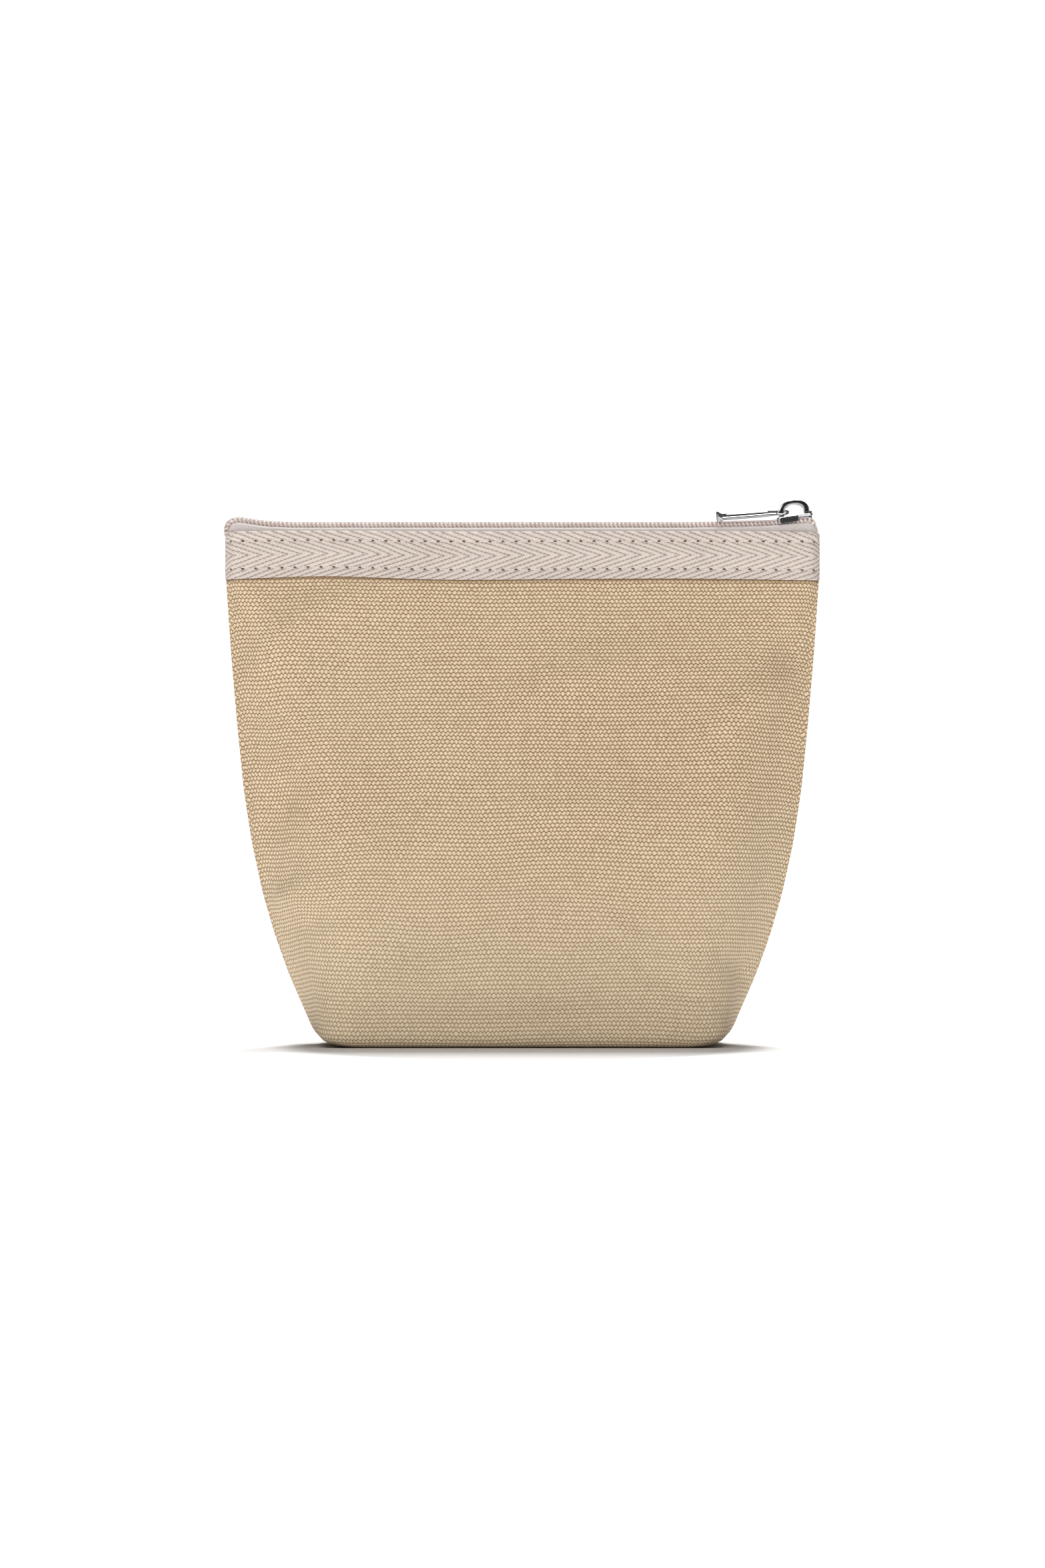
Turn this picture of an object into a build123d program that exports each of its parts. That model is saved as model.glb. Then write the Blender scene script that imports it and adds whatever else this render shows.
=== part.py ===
"""A stand-up canvas zip pouch with a boxed base.

Millimetres, +Z up. The origin is the centre of the base on the floor. X runs along the zip,
with the closed slider at +X, and the front of the pouch faces -Y.
"""

import os
from math import cos, radians, sin

from build123d import *

# Canvas body. Each level of the walls is height, half width, half depth, half length of the
# flat face, and the radius of the soft fold between the flat face and the gusset.
canvas = 0.9
wall_levels = (
    (2.0, 64.3, 27.8, 63.2, 1.0),
    (11.0, 68.2, 27.6, 64.4, 6.0),
    (22.0, 73.0, 26.6, 65.0, 12.0),
    (34.0, 77.3, 25.0, 65.0, 15.0),
    (47.0, 81.1, 22.7, 65.0, 18.0),
    (63.0, 84.6, 20.1, 65.5, 22.0),
    (80.0, 87.2, 17.2, 66.0, 25.0),
    (100.0, 89.2, 13.4, 69.0, 28.0),
    (122.0, 91.1, 9.2, 75.0, 30.0),
    (145.4, 92.7, 5.0, 89.8, 2.5),
    (160.3, 92.7, 5.0, 89.8, 2.5),
)
base_half_length = 62.5
base_half_depth = 27.3
base_corner = 4.0
seam_gap = 0.2
band_bottom = 145.4
rim_top = 160.3
rim_half_width = 92.7
rim_half_depth = 5.0
rim_flat = 89.8
rim_fold = 2.5

# Herringbone tape round the mouth and its two rows of stitching.
band = 0.7
band_gap = 0.02
stitch_heights = {"lower": 148.4, "upper": 157.2}
stitch_pitch = 4.0
stitch_length = 3.1
stitch_thread = 0.45
stitch_reach = 86.0

# Bound seams inside.
binding = 1.2
binding_width = 5.8
binding_inset = 4.2
binding_bottom = 8.0
binding_top = 143.0
binding_foot_in = 5.6
binding_head_out = 1.2
corner_binding_x = 61.5
corner_binding_half = 23.0
corner_binding_top = 7.0

# Coil zip. The coil lies on the tape, and the tape turns down inside the mouth.
tape = 0.5
tape_top = 161.15
tape_bottom = 147.5
tape_middle_gap = 0.25
tape_half_length = 88.0
tape_clearance = 0.05
tape_outer = rim_half_depth - canvas - tape_clearance
leg_gap = 0.1
coil_width = 2.1
coil_height = 1.75
coil_corner = 0.55
coil_gap = 0.05
coil_left = -88.0
coil_right = 78.6
zip_cord = 0.7
cord_gap = 0.02

# Turned-down ends of the zip. The right one steps down under the slider's nose.
end_left = 88.0
end_right = 92.4
end_top = 164.6
end_step = 161.6
end_gap = 0.4
end_half_width = 2.2
end_rounding = 0.45
nose_end_left = 91.2
free_end_left = 88.6
tail = 1.6
tail_drop = 5.0

# Slider. Its own frame has its origin in the middle of the channel that the coil runs in.
slider_x = 85.25
slider_z = 163.75
slider_pitch = 8.0
slider_length = 11.2
plate = 0.75
channel_half_height = 0.92
bottom_plate_top = -1.3
shoulder_half_width = 3.7
tail_half_width = 3.0
nose_half_width = 1.9
plate_corner = 1.1
lower_plate_inset = 0.3
flange_inner = 2.4
flange_shoulder = 2.95
flange_end = 0.9
flange_bottom = -0.45
flange_corner = 0.6
plate_edge = 0.3
wedge_bite = 0.1
socket_gap = 0.04
wedge_start = 1.8
wedge_half_width = 1.0
wedge_shoulder = 1.2
wedge_end = 0.3
lug_length = 2.2
lug_half_width = 1.5
lug_inset = 1.2
lug_height = 0.65

# Bail, measured in the slider's frame.
bail_centre = 2.55
bail_half_length = 4.9
bail_rise = 4.0
bail_hole_half_length = 3.0
bail_hole_rise = 3.0
bail_leg = bail_half_length - bail_hole_half_length
bail_half_width = 0.85
bail_edge = 0.4

# Pull tab. It starts at the eye round the bail's left leg and points to -X.
eye_x = 81.05
eye_z = 166.4
tab_slope = 4.3
tab_roll = 12.0
tab = 0.8
tab_half_width = 2.3
tab_waist = 1.75
waist_end = 4.5
shoulder_start = 7.5
tab_reach = 20.4
eye_outer = 2.35
eye_hole = 1.45
lip_length = 1.9
lip = 1.9
lip_flat = 0.5
lip_root = 0.38
tab_edge = 0.25

slider_plane = Plane(
    origin=(slider_x, 0, slider_z),
    x_dir=(cos(radians(slider_pitch)), 0, sin(radians(slider_pitch))),
    z_dir=(-sin(radians(slider_pitch)), 0, cos(radians(slider_pitch))),
)
slider_side = Plane(origin=slider_plane.origin, x_dir=slider_plane.x_dir, z_dir=(0, -1, 0))


def level_outline(half_width, half_depth, half_flat, fold, inset):
    """The pouch's outline at one level, set in by a distance: two flat faces and two pointed gussets."""
    with BuildSketch() as outline:
        with BuildLine():
            Polyline(
                (-half_width, 0),
                (-half_flat, -half_depth),
                (half_flat, -half_depth),
                (half_width, 0),
                (half_flat, half_depth),
                (-half_flat, half_depth),
                close=True,
            )
        make_face()
        fillet(outline.vertices().filter_by(lambda corner: abs(corner.Y) > half_depth / 2), fold)
        if inset:
            offset(amount=-inset, kind=Kind.INTERSECTION, mode=Mode.REPLACE)
    return outline.sketch


def rim_outline(inset):
    return level_outline(rim_half_width, rim_half_depth, rim_flat, rim_fold, inset)


def pouch_body(inset):
    """The closed body inside the walls' surface, or inside their inner surface with canvas as the inset."""
    outlines = [(height, level_outline(*shape, inset)) for height, *shape in wall_levels]
    with BuildPart() as body:
        for height, outline in outlines:
            with BuildSketch(Plane.XY.offset(height)):
                add(outline)
        loft(ruled=True)
    return body.part


def keep_front(thing):
    """The half of a ring that stands in front of the side seams, clear of the other half."""
    reach = 2 * rim_half_width
    with BuildPart() as half:
        add(thing)
        with Locations((0, reach / 2 - seam_gap, rim_top / 2)):
            Box(2 * reach, reach, 3 * rim_top, mode=Mode.SUBTRACT)
    return half.part


def write(part, name):
    part.label = name
    export_step(part, f"parts/{name}.step")


def write_pair(front, name):
    """Writes a piece of the front of the pouch and the same piece at the back."""
    write(front, f"front_{name}")
    with BuildPart() as back:
        add(front)
        mirror(about=Plane.XZ, mode=Mode.REPLACE)
    write(back.part, f"back_{name}")


def write_sides(right, name):
    """Writes a piece of the right side and the same piece on the left."""
    write(right, f"right_{name}")
    with BuildPart() as left:
        add(right)
        mirror(about=Plane.YZ, mode=Mode.REPLACE)
    write(left.part, f"left_{name}")


def wall_panel():
    outside = pouch_body(0)
    inside = pouch_body(canvas)
    with BuildPart() as shell:
        add(outside)
        add(inside, mode=Mode.SUBTRACT)
    return keep_front(shell.part)


def base_panel():
    with BuildPart() as base:
        with BuildSketch():
            RectangleRounded(2 * base_half_length, 2 * base_half_depth, base_corner)
        extrude(amount=canvas)
    return base.part


def band_tape():
    """The herringbone tape outside the canvas, along the whole mouth."""
    outer = rim_outline(-band - band_gap)
    inner = rim_outline(-band_gap)
    with BuildPart() as ring:
        with BuildSketch(Plane.XY.offset(band_bottom)):
            add(outer)
            add(inner, mode=Mode.SUBTRACT)
        extrude(amount=rim_top - band_bottom)
    return keep_front(ring.part)


def stitch_row(height):
    """One row of stitches, which stand half out of the band."""
    count = int(2 * stitch_reach / stitch_pitch) + 1
    face = -(rim_half_depth + band + band_gap + stitch_thread / 2)
    with BuildPart() as row:
        with Locations((0, face, height)):
            with GridLocations(stitch_pitch, 1, count, 1):
                Box(stitch_length, stitch_thread, stitch_thread)
    return row.part


def side_binding():
    """The bound seam allowance inside the right side seam, which follows the side's slope."""
    edge = [(half_width - binding_inset, height) for height, half_width, *_ in wall_levels]
    seam = [point for point in edge if binding_bottom < point[1] < binding_top]
    foot = (seam[0][0] - binding_foot_in, binding_bottom)
    head = (seam[-1][0] + binding_head_out, binding_top)
    outer = [foot, *seam, head]
    inner = [(x - binding_width, z) for x, z in reversed(outer)]
    with BuildPart() as strip:
        with BuildSketch(Plane.XZ):
            with BuildLine():
                Polyline(*outer, *inner, close=True)
            make_face()
        extrude(amount=binding / 2, both=True)
    return strip.part


def corner_binding():
    """The bound seam across the right end of the base, standing on the base inside."""
    with BuildPart() as strip:
        with BuildSketch(Plane.XY.offset(canvas)):
            with Locations((corner_binding_x, 0)):
                Rectangle(binding, 2 * corner_binding_half)
        extrude(amount=corner_binding_top - canvas)
    return strip.part


def zip_tape():
    """The front tape: flat under the coil, then down inside the canvas, where it runs on past the slider."""
    leg_top = rim_top - leg_gap
    with BuildPart() as strip:
        with BuildSketch(Plane.YZ.offset(-tape_half_length)) as section:
            with BuildLine():
                Polyline(
                    (-tape_middle_gap, tape_top),
                    (-tape_outer, tape_top),
                    (-tape_outer, tape_bottom),
                    (-tape_outer + tape, tape_bottom),
                    (-tape_outer + tape, tape_top - tape),
                    (-tape_middle_gap, tape_top - tape),
                    close=True,
                )
            make_face()
            fillet(section.vertices().sort_by(Axis.X)[:2].sort_by(Axis.Y)[-1], 2 * tape)
        extrude(amount=coil_right + tape_half_length)
        leg_middle = ((coil_right + tape_half_length) / 2, tape / 2 - tape_outer, (leg_top + tape_bottom) / 2)
        with Locations(leg_middle):
            Box(tape_half_length - coil_right, tape, leg_top - tape_bottom)
    return strip.part


def coil():
    """The front half of the nylon coil as a hollow bar, with room for its filler cord."""
    middle = (-coil_gap - coil_width / 2, tape_top + coil_height / 2)
    with BuildPart() as bar:
        with BuildSketch(Plane.YZ.offset(coil_left)):
            with Locations(middle):
                RectangleRounded(coil_width, coil_height, coil_corner)
                Circle(zip_cord / 2 + cord_gap, mode=Mode.SUBTRACT)
        extrude(amount=coil_right - coil_left)
    return bar.part


def coil_cord():
    """The filler cord that lies inside the front coil."""
    middle = (-coil_gap - coil_width / 2, tape_top + coil_height / 2)
    with BuildPart() as cord:
        with BuildSketch(Plane.YZ.offset(coil_left)):
            with Locations(middle):
                Circle(zip_cord / 2)
        extrude(amount=coil_right - coil_left)
    return cord.part


def zip_end(lump_left):
    """Tape and coil turned down at the right end of the zip: a lump on a step, and a tail in the seam."""
    with BuildPart() as end:
        with BuildSketch(Plane.XZ) as side:
            with BuildLine():
                Polyline(
                    (end_left, rim_top + end_gap),
                    (end_right, rim_top + end_gap),
                    (end_right, end_top),
                    (lump_left, end_top),
                    (lump_left, end_step),
                    (end_left, end_step),
                    close=True,
                )
            make_face()
            fillet(side.vertices().group_by(Axis.Y)[-1], (end_right - lump_left) * end_rounding)
        extrude(amount=end_half_width, both=True)
        with Locations((end_left + tail / 2, 0, end_step - tail_drop / 2)):
            Box(tail, tail, tail_drop)
    return end.part


def plate_outline(shrink):
    """The slider's plate from above: narrow at the tail, wide at the shoulders, rounded at the nose."""
    half = slider_length / 2
    with BuildSketch() as outline:
        with BuildLine():
            Polyline(
                (-half + shrink, -tail_half_width + shrink),
                (flange_end, -shoulder_half_width + shrink),
                (half - shrink, -nose_half_width + shrink),
                (half - shrink, nose_half_width - shrink),
                (flange_end, shoulder_half_width - shrink),
                (-half + shrink, tail_half_width - shrink),
                close=True,
            )
        make_face()
        fillet(outline.vertices(), plate_corner)
    return outline.sketch


def slider_flanges():
    """The two walls that fold down from the upper plate round the coil, as far as the shoulders."""
    plan = plate_outline(0)
    tail_end = -slider_length / 2
    with BuildPart() as flanges:
        with BuildSketch(slider_side) as profile:
            with BuildLine():
                Polyline(
                    (tail_end, channel_half_height + plate / 2),
                    (tail_end, flange_bottom),
                    (flange_end, flange_bottom),
                    (flange_end, channel_half_height + plate / 2),
                    close=True,
                )
            make_face()
            fillet(profile.vertices().group_by(Axis.Y)[0], flange_corner)
        extrude(amount=shoulder_half_width, both=True)
        with BuildSketch(slider_plane.offset(flange_bottom)):
            add(plan)
        extrude(amount=channel_half_height + plate - flange_bottom, mode=Mode.INTERSECT)
        with BuildSketch(slider_plane.offset(flange_bottom)):
            with BuildLine():
                Polyline(
                    (tail_end, flange_inner),
                    (flange_end, flange_shoulder),
                    (flange_end, -flange_shoulder),
                    (tail_end, -flange_inner),
                    close=True,
                )
            make_face()
        extrude(amount=channel_half_height - flange_bottom, mode=Mode.SUBTRACT)
    return flanges.part


def slider_body():
    """Two plates joined by the wedge at the nose, with flanges round the coil and a socket for the bail."""
    nose = slider_length / 2
    upper = plate_outline(0)
    lower = plate_outline(lower_plate_inset)
    flanges = slider_flanges()
    upward = Axis(slider_plane.origin, slider_plane.z_dir)
    with BuildPart() as body:
        with BuildSketch(slider_plane.offset(channel_half_height)):
            add(upper)
        extrude(amount=plate)
        fillet(body.faces().sort_by(upward)[-1].edges(), plate_edge)
        with BuildSketch(slider_plane.offset(bottom_plate_top)):
            add(lower)
        extrude(amount=-plate)
        fillet(body.faces().sort_by(upward)[0].edges(), plate_edge)
        with BuildSketch(slider_plane.offset(bottom_plate_top - wedge_bite)):
            with BuildLine():
                Polyline(
                    (wedge_start, 0),
                    (nose - wedge_shoulder, wedge_half_width),
                    (nose - wedge_end, wedge_half_width),
                    (nose - wedge_end, -wedge_half_width),
                    (nose - wedge_shoulder, -wedge_half_width),
                    close=True,
                )
            make_face()
        extrude(amount=channel_half_height - bottom_plate_top + 2 * wedge_bite)
        add(flanges)
        with BuildSketch(slider_plane.offset(channel_half_height + plate)):
            with Locations((nose - lug_inset, 0)):
                Rectangle(lug_length, 2 * lug_half_width)
            with Locations((bail_hole_half_length, 0)):
                Rectangle(2 * bail_leg + socket_gap, 2 * bail_half_width + socket_gap, mode=Mode.SUBTRACT)
        extrude(amount=lug_height)
    return body.part


def slider_bail():
    """The arch over the slider, with a half-oval opening for the tab's eye."""
    foot = channel_half_height + plate
    with BuildPart() as arch:
        with BuildSketch(slider_side):
            with Locations((0, bail_centre)):
                Ellipse(bail_half_length, bail_rise)
            with Locations((0, (foot + bail_centre) / 2)):
                Rectangle(2 * bail_half_length, bail_centre - foot)
            with Locations((0, foot - bail_rise)):
                Rectangle(3 * bail_half_length, 2 * bail_rise, mode=Mode.SUBTRACT)
            with Locations((0, bail_centre)):
                Ellipse(bail_hole_half_length, bail_hole_rise, mode=Mode.SUBTRACT)
            with Locations((0, (foot + bail_centre) / 2)):
                Rectangle(2 * bail_hole_half_length, bail_centre - foot, mode=Mode.SUBTRACT)
        extrude(amount=bail_half_width, both=True)
        fillet(arch.faces().filter_by(Axis.Y).edges(), bail_edge)
    return arch.part


def pull_tab():
    """A flat bar with an eye at one end and a thick lip across the other."""
    slope = radians(tab_slope)
    roll = radians(tab_roll)
    along = Vector(-cos(slope), 0, -sin(slope))
    level = Vector(0, -1, 0)
    upright = Vector(-sin(slope), 0, cos(slope))
    normal = upright * cos(roll) + level * sin(roll)
    flat = Plane(origin=(eye_x, 0, eye_z), x_dir=along, z_dir=normal)
    edge = Plane(origin=flat.origin, x_dir=along, z_dir=flat.y_dir)
    with BuildPart() as pull:
        with BuildSketch(flat.offset(-tab / 2)):
            with BuildLine():
                Polyline(
                    (0, -tab_waist),
                    (waist_end, -tab_waist),
                    (shoulder_start, -tab_half_width),
                    (tab_reach, -tab_half_width),
                    (tab_reach, tab_half_width),
                    (shoulder_start, tab_half_width),
                    (waist_end, tab_waist),
                    (0, tab_waist),
                    close=True,
                )
            make_face()
            Circle(eye_outer)
            Circle(eye_hole, mode=Mode.SUBTRACT)
        extrude(amount=tab)
        with BuildSketch(edge.offset(-tab_half_width)):
            with BuildLine():
                Polyline(
                    (tab_reach - lip_length, lip_root),
                    (tab_reach - lip_flat, lip / 2),
                    (tab_reach, lip / 2),
                    (tab_reach, -lip / 2),
                    (tab_reach - lip_flat, -lip / 2),
                    (tab_reach - lip_length, -lip_root),
                    close=True,
                )
            make_face()
        extrude(amount=2 * tab_half_width)
        fillet(pull.edges(), tab_edge)
    return pull.part


os.makedirs("parts", exist_ok=True)

write_pair(wall_panel(), "panel")
write_pair(band_tape(), "band")
for row, height in stitch_heights.items():
    write_pair(stitch_row(height), f"{row}_stitches")
write_pair(zip_tape(), "zip_tape")
write_pair(coil(), "zip_coil")
write_pair(coil_cord(), "coil_cord")

write(base_panel(), "base_panel")
write_sides(side_binding(), "side_binding")
write_sides(corner_binding(), "corner_binding")
write(zip_end(nose_end_left), "right_zip_end")
with BuildPart() as left_zip_end:
    add(zip_end(free_end_left))
    mirror(about=Plane.YZ, mode=Mode.REPLACE)
write(left_zip_end.part, "left_zip_end")

write(slider_body(), "slider_body")
write(slider_bail(), "slider_bail")
write(pull_tab(), "pull_tab")
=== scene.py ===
"""Looks of the stand-up canvas zip pouch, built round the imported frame. Shapes are worked out in millimetres."""
import math

import bpy
import numpy as np
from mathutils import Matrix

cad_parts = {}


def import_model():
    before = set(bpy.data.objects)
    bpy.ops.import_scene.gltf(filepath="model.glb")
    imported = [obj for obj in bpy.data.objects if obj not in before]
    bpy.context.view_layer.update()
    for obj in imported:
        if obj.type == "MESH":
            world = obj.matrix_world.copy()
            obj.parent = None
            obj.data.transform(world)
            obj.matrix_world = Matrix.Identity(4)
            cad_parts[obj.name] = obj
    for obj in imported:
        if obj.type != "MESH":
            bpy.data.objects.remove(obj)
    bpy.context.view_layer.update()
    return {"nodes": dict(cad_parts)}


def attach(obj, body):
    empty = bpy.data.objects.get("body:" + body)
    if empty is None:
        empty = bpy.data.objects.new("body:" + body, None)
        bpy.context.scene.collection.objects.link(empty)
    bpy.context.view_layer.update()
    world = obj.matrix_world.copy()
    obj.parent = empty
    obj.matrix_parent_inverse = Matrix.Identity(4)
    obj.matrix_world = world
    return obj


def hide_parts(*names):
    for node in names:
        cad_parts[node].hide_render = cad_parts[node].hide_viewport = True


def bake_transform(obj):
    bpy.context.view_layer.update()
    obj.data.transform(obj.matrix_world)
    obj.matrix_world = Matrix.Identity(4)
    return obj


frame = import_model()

MM = 0.001
TURN = 2 * math.pi


# -------- small helpers

def ease(t):
    """0 to 1 with level ends."""
    t = np.clip(t, 0.0, 1.0)
    return t * t * (3 - 2 * t)


def bell(t):
    return np.exp(-np.square(t))


def smooth_curve(knots, step=0.25, blur=3.0):
    """A lookup through (place, value) knots with its corners rounded off."""
    knots = np.array(knots, float)
    pad = 4 * blur
    places = np.arange(knots[0, 0] - 2 * pad, knots[-1, 0] + 2 * pad, step)
    first = (knots[1, 1] - knots[0, 1]) / (knots[1, 0] - knots[0, 0])
    last = (knots[-1, 1] - knots[-2, 1]) / (knots[-1, 0] - knots[-2, 0])
    values = np.interp(places, knots[:, 0], knots[:, 1])
    values += np.minimum(places - knots[0, 0], 0) * first + np.maximum(places - knots[-1, 0], 0) * last
    kernel = bell(np.arange(-3 * blur, 3 * blur + step, step) / blur)
    values = np.convolve(values, kernel / kernel.sum(), mode="same")
    return lambda x: np.interp(x, places, values)


def grid_faces(index):
    """Quads over a grid of vertex numbers."""
    return np.stack([index[:-1, :-1], index[1:, :-1], index[1:, 1:], index[:-1, 1:]], -1).reshape(-1, 4)


def corner_normals(points, faces):
    quad = points[faces]
    face = np.cross(quad[:, 2] - quad[:, 0], quad[:, 3] - quad[:, 1])
    total = np.zeros_like(points)
    for k in range(4):
        np.add.at(total, faces[:, k], face)
    return total / np.maximum(np.linalg.norm(total, axis=1, keepdims=True), 1e-9)


def thicken(points, faces, thickness):
    """A closed sheet: the given surface, a second one behind it and the rim between them."""
    count = len(points)
    inner = points - corner_normals(points, faces) * np.reshape(thickness, (-1, 1))
    edges = np.concatenate([faces[:, [k, (k + 1) % 4]] for k in range(4)])
    forward = edges[:, 0] * count + edges[:, 1]
    backward = edges[:, 1] * count + edges[:, 0]
    border = edges[~np.isin(forward, backward)]
    rim = np.stack([border[:, 1], border[:, 0], border[:, 0] + count, border[:, 1] + count], 1)
    return np.concatenate([points, inner]), np.concatenate([faces, faces[:, ::-1] + count, rim])


def make_piece(name, points, faces, material, cloth=None, crease=None):
    """A smooth mesh object. cloth is each point's place on the flat cloth, crease the angle that stays sharp."""
    mesh = bpy.data.meshes.new(name)
    faces = faces.tolist() if isinstance(faces, np.ndarray) else [list(face) for face in faces]
    mesh.from_pydata((np.asarray(points) * MM).tolist(), [], faces)
    mesh.shade_smooth()
    if crease is not None:
        mesh.set_sharp_from_angle(angle=math.radians(crease))
    if cloth is not None:
        attribute = mesh.attributes.new("cloth_mm", "FLOAT_VECTOR", "POINT")
        attribute.data.foreach_set("vector", np.asarray(cloth, np.float32).ravel())
    mesh.materials.append(material)
    mesh.validate()
    obj = bpy.data.objects.new(name, mesh)
    bpy.context.scene.collection.objects.link(obj)
    return obj


def turned(faces, side):
    """Faces for the front, or turned inside out for the mirrored points of the back."""
    if side > 0:
        return faces
    return faces[:, ::-1] if isinstance(faces, np.ndarray) else [face[::-1] for face in faces]


def closed_tube(path, radius, sides, up=(0, 0, 1.0)):
    """Points and faces of a tube along a path, with a fan over each end."""
    along = np.gradient(path, axis=0)
    along /= np.linalg.norm(along, axis=1, keepdims=True)
    across = np.cross(along, up)
    across /= np.maximum(np.linalg.norm(across, axis=1, keepdims=True), 1e-9)
    above = np.cross(across, along)
    turn = np.arange(sides) * TURN / sides
    ring = across[:, None] * np.cos(turn)[None, :, None] + above[:, None] * np.sin(turn)[None, :, None]
    points = (path[:, None] + ring * radius).reshape(-1, 3)
    index = np.arange(len(path) * sides).reshape(-1, sides)
    faces = [tuple(face) for face in grid_faces(np.concatenate([index, index[:, :1]], 1)).tolist()]
    first, last, start = len(points), len(points) + 1, len(points) - sides
    faces += [(first, k, (k + 1) % sides) for k in range(sides)]
    faces += [(last, start + (k + 1) % sides, start + k) for k in range(sides)]
    return np.concatenate([points, [points[:sides].mean(0), points[-sides:].mean(0)]]), faces


def join(parts):
    """One point array and one face list out of several."""
    points, faces, start = [], [], 0
    for part_points, part_faces in parts:
        points.append(part_points)
        faces += [tuple(int(i) + start for i in face) for face in part_faces]
        start += len(part_points)
    return np.concatenate(points), faces


# -------- shader helpers

def feed(tree, slot, value):
    """Gives a node's input a plain number or another node's result."""
    if isinstance(value, Field):
        tree.links.new(value.socket, slot)
    else:
        slot.default_value = value


class Field:
    """A number worked out by nodes, which adds and multiplies like a plain one."""

    def __init__(self, tree, socket):
        self.tree, self.socket = tree, socket

    def use(self, operation, *others):
        node = self.tree.nodes.new("ShaderNodeMath")
        node.operation = operation
        for slot, value in zip(node.inputs, (self, *others)):
            feed(self.tree, slot, value)
        return Field(self.tree, node.outputs[0])

    def __add__(self, other):
        return self.use("ADD", other)

    def __sub__(self, other):
        return self.use("SUBTRACT", other)

    def __mul__(self, other):
        return self.use("MULTIPLY", other)

    def __truediv__(self, other):
        return self.use("DIVIDE", other)

    def smooth(self, low, high, bottom=0.0, top=1.0):
        node = self.tree.nodes.new("ShaderNodeMapRange")
        node.interpolation_type = "SMOOTHSTEP"
        self.tree.links.new(self.socket, node.inputs["Value"])
        for name, value in (("From Min", low), ("From Max", high), ("To Min", bottom), ("To Max", top)):
            node.inputs[name].default_value = value
        return Field(self.tree, node.outputs["Result"])


def split_place(tree, socket):
    """The three numbers of a place."""
    split = tree.nodes.new("ShaderNodeSeparateXYZ")
    tree.links.new(socket, split.inputs[0])
    return [Field(tree, part) for part in split.outputs]


class Shader:
    """A Principled material under construction."""

    def __init__(self, name, roughness, **sockets):
        self.material = bpy.data.materials.new(name)
        self.material.use_nodes = True
        self.tree = self.material.node_tree
        self.surface = self.tree.nodes["Principled BSDF"]
        self.surface.inputs["Roughness"].default_value = roughness
        for key, value in sockets.items():
            self.surface.inputs[key.replace("_", " ").title()].default_value = value

    def node(self, kind):
        return self.tree.nodes.new("ShaderNode" + kind)

    def cloth(self):
        """Place on the flat cloth in millimetres and, on the canvas, how far below the band a point lies."""
        attribute = self.node("Attribute")
        attribute.attribute_name = "cloth_mm"
        return split_place(self.tree, attribute.outputs["Vector"])

    def place(self, scale):
        """Place on the object, for solids."""
        coordinates = self.node("TexCoord")
        mapping = self.node("Mapping")
        mapping.inputs["Scale"].default_value = (scale, scale, scale)
        self.tree.links.new(coordinates.outputs["Object"], mapping.inputs["Vector"])
        return mapping.outputs[0]

    def noise(self, vector, scale=1.0, detail=2.0):
        """Noise of about 0 to 1 at a place."""
        node = self.node("TexNoise")
        node.inputs["Scale"].default_value = scale
        node.inputs["Detail"].default_value = detail
        self.tree.links.new(vector, node.inputs["Vector"])
        return Field(self.tree, node.outputs[0])

    def at(self, x, y, z=0.0):
        node = self.node("CombineXYZ")
        for slot, value in zip(node.inputs, (x, y, z)):
            feed(self.tree, slot, value)
        return node.outputs[0]

    def blend(self, factor, low, high):
        """A colour between two colours, each given as numbers or as a socket."""
        node = self.node("Mix")
        node.data_type = "RGBA"
        self.tree.links.new(factor.socket, node.inputs[0])
        for slot, value in ((node.inputs[6], low), (node.inputs[7], high)):
            if isinstance(value, tuple):
                slot.default_value = (*value, 1.0)
            else:
                self.tree.links.new(value, slot)
        return node.outputs[2]

    def finish(self, colour, height=None, depth=0.2, strength=1.0, edge=None):
        """Wires the colour and a bump whose full height is depth millimetres. edge is how wide edges look rounded."""
        if isinstance(colour, tuple):
            self.surface.inputs["Base Color"].default_value = (*colour, 1.0)
        else:
            self.tree.links.new(colour, self.surface.inputs["Base Color"])
        if height is not None:
            bump = self.node("Bump")
            bump.inputs["Distance"].default_value = depth * MM
            bump.inputs["Strength"].default_value = strength
            self.tree.links.new(height.socket, bump.inputs["Height"])
            self.tree.links.new(bump.outputs[0], self.surface.inputs["Normal"])
            if edge is not None:
                bevel = self.node("Bevel")
                bevel.inputs["Radius"].default_value = edge * MM
                self.tree.links.new(bevel.outputs[0], bump.inputs["Normal"])
        return self.material


def srgb(red, green, blue):
    """A colour given in 0 to 255 as shown, for a shader."""
    return tuple(((c / 255 + 0.055) / 1.055) ** 2.4 if c > 10 else c / 255 / 12.92 for c in (red, green, blue))


# -------- materials

WEAVE = 1.32  # from one warp float to the next
PICK = 1.24  # from one row of floats to the next, near the mouth
ZIGZAG = 0.146  # how far the dark line between two rows swings, in rows
PICK_GROWTH = -0.00022  # the rows lie further apart towards the foot
RIB = 1.41  # from one rib of the herringbone to the next, up the tape
SEGMENT = 1.25  # from one twist of a rib to the next
BAND_MIDDLE = 7.45  # height of the arrowheads on the tape
STITCH_PITCH = 4.0
STITCH_ROWS = (3.1, 11.8)  # heights above the band's lower edge


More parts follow.
